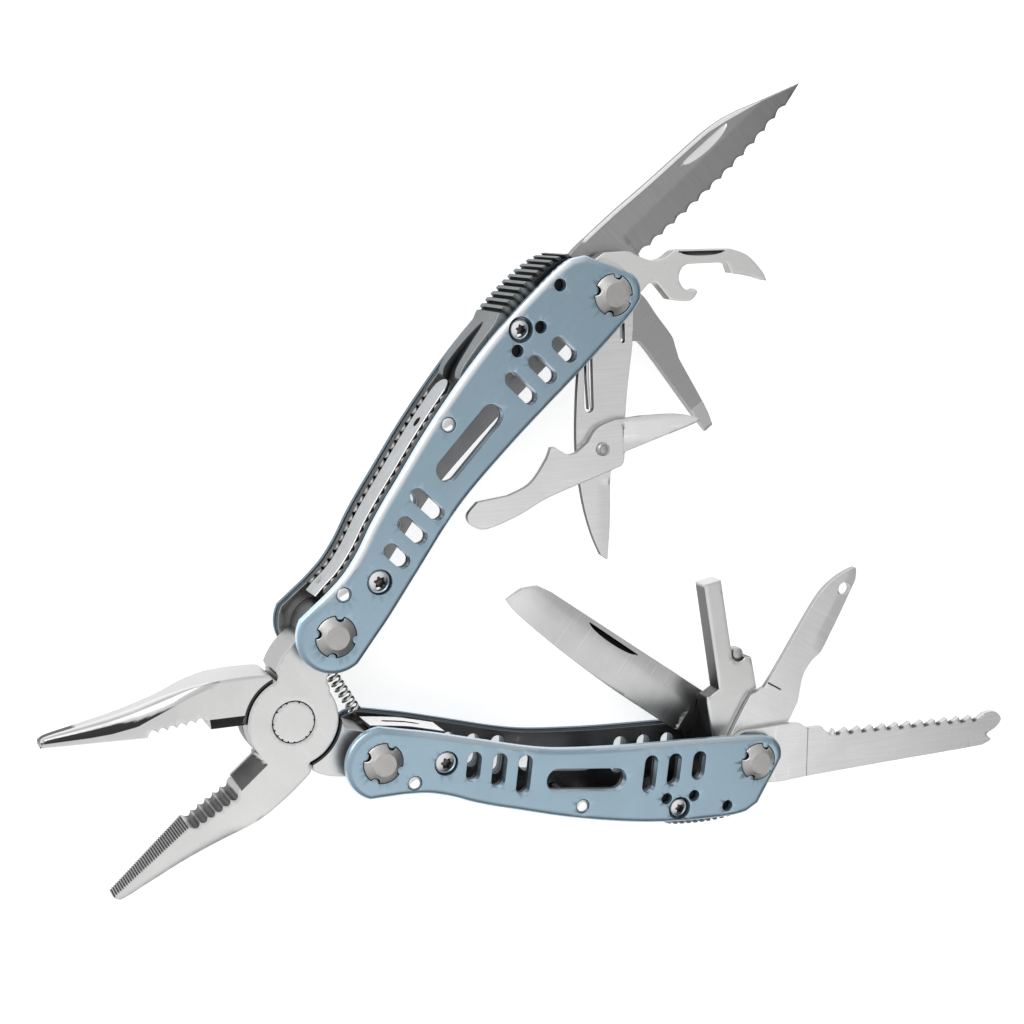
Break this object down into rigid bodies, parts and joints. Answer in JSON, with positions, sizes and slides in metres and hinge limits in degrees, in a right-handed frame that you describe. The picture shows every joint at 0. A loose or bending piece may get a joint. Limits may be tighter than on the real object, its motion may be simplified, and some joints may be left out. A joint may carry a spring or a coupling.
{
  "type": "multi tool",
  "caption": "Folding plier multi-tool with wide-open jaws, two slotted handles and fold-out blades, saw, awl, opener, scissors, screwdriver and bit arm.",
  "frame": {"origin": "centre of the box round the whole object, half-way through the thickness", "axes": "+Z out of the front scales, +X towards the tool ends of the two open handles, +Y towards the upper handle"},
  "size_m": [0.214, 0.1526, 0.0202],
  "materials": {
    "scale": "blue-grey anodised, satin",
    "liner": "brushed",
    "satin": "satin ground",
    "dark_steel": "darker satin ground",
    "bolt": "matt",
    "polished": "polished"
  },
  "bodies": {
    "front_jaw": {"jaw_front": "satin", "pliers_rivet": "satin", "return_spring": "polished"},
    "rear_jaw": {"jaw_rear": "satin"},
    "upper_handle": {"upper_back_liner": "liner", "upper_back_scale": "scale", "upper_channel_leaf": "satin", "upper_far_bolt": "bolt", "upper_far_nut": "bolt", "upper_far_washer_1": "satin", "upper_far_washer_2": "satin", "upper_front_liner": "liner", "upper_front_scale": "scale", "upper_main_bolt": "bolt", "upper_main_nut": "bolt", "upper_main_washer_back": "satin", "upper_main_washer_front": "satin", "upper_pin_main": "polished", "upper_pin_mid": "polished", "upper_rear_screw_far": "polished", "upper_rear_screw_main": "polished", "upper_screw_far": "polished", "upper_screw_main": "polished", "upper_spring_bar": "satin"},
    "upper_lever": {"upper_lock_lever": "liner"},
    "lower_handle": {"lower_back_liner": "liner", "lower_back_scale": "scale", "lower_channel_leaf": "satin", "lower_far_bolt": "bolt", "lower_far_nut": "bolt", "lower_far_washer_1": "satin", "lower_front_liner": "liner", "lower_front_scale": "scale", "lower_main_bolt": "bolt", "lower_main_nut": "bolt", "lower_main_washer_back": "satin", "lower_main_washer_front": "satin", "lower_pin_main": "polished", "lower_pin_mid": "polished", "lower_rear_screw_far": "polished", "lower_rear_screw_main": "polished", "lower_screw_far": "polished", "lower_screw_main": "polished", "lower_spring_bar": "satin"},
    "lower_lever": {"lower_lock_lever": "liner"},
    "serrated_blade": {"serrated_blade": "dark_steel"},
    "can_opener": {"can_opener": "satin"},
    "screwdriver": {"screwdriver": "dark_steel"},
    "scissors": {"scissors_arm": "satin", "scissors_rivet": "satin", "scissors_spring": "dark_steel"},
    "scissors_lever": {"scissors_lever": "satin"},
    "saw_blade": {"saw_blade": "satin"},
    "awl": {"awl": "satin"},
    "bit_arm": {"bit_arm": "satin", "bit_arm_pin": "bolt"},
    "plain_blade": {"plain_blade": "satin"}
  },
  "joints": [
    {"name": "pliers_pivot", "type": "hinge", "parent": "front_jaw", "child": "rear_jaw", "pos_m": [-0.06017, -0.04422, 0], "axis": [0, 0, 1], "range_deg": [0, 35], "deforming": ["return_spring"]},
    {"name": "upper_handle_pivot", "type": "hinge", "parent": "front_jaw", "child": "upper_handle", "pos_m": [-0.0526, -0.02722, 0], "axis": [0, 0, 1], "range_deg": [0, 79]},
    {"name": "lower_handle_pivot", "type": "hinge", "parent": "rear_jaw", "child": "lower_handle", "pos_m": [-0.04385, -0.05342, 0], "axis": [0, 0, -1], "range_deg": [0, 79]},
    {"name": "upper_lever_pivot", "type": "hinge", "parent": "upper_handle", "child": "upper_lever", "pos_m": [-0.01438, 0.02902, 0], "axis": [0, 0, 1], "range_deg": [0, 4]},
    {"name": "lower_lever_pivot", "type": "hinge", "parent": "lower_handle", "child": "lower_lever", "pos_m": [0.02155, -0.07205, 0], "axis": [0, 0, -1], "range_deg": [0, 4]},
    {"name": "serrated_blade_pivot", "type": "hinge", "parent": "upper_handle", "child": "serrated_blade", "pos_m": [0.00519, 0.03512, 0], "axis": [0, 0, -1], "range_deg": [0, 178]},
    {"name": "can_opener_pivot", "type": "hinge", "parent": "upper_handle", "child": "can_opener", "pos_m": [0.00519, 0.03512, 0], "axis": [0, 0, -1], "range_deg": [-47, 133]},
    {"name": "screwdriver_pivot", "type": "hinge", "parent": "upper_handle", "child": "screwdriver", "pos_m": [0.00519, 0.03512, 0], "axis": [0, 0, -1], "range_deg": [-102, 78]},
    {"name": "scissors_pivot", "type": "hinge", "parent": "upper_handle", "child": "scissors", "pos_m": [0.00519, 0.03512, 0], "axis": [0, 0, -1], "range_deg": [-135, 14]},
    {"name": "scissors_lever_pivot", "type": "hinge", "parent": "scissors", "child": "scissors_lever", "pos_m": [0.00445, 0.00477, 0], "axis": [0, 0, 1], "range_deg": [-58, 0]},
    {"name": "saw_blade_pivot", "type": "hinge", "parent": "lower_handle", "child": "saw_blade", "pos_m": [0.04047, -0.06417, 0], "axis": [0, 0, 1], "range_deg": [-7, 172]},
    {"name": "awl_pivot", "type": "hinge", "parent": "lower_handle", "child": "awl", "pos_m": [0.04047, -0.06417, 0], "axis": [0, 0, 1], "range_deg": [-67, 112]},
    {"name": "bit_arm_pivot", "type": "hinge", "parent": "lower_handle", "child": "bit_arm", "pos_m": [0.04047, -0.06417, 0], "axis": [0, 0, 1], "range_deg": [-107, 72]},
    {"name": "plain_blade_pivot", "type": "hinge", "parent": "lower_handle", "child": "plain_blade", "pos_m": [0.04047, -0.06417, 0], "axis": [0, 0, 1], "range_deg": [-152, 27]}
  ]
}
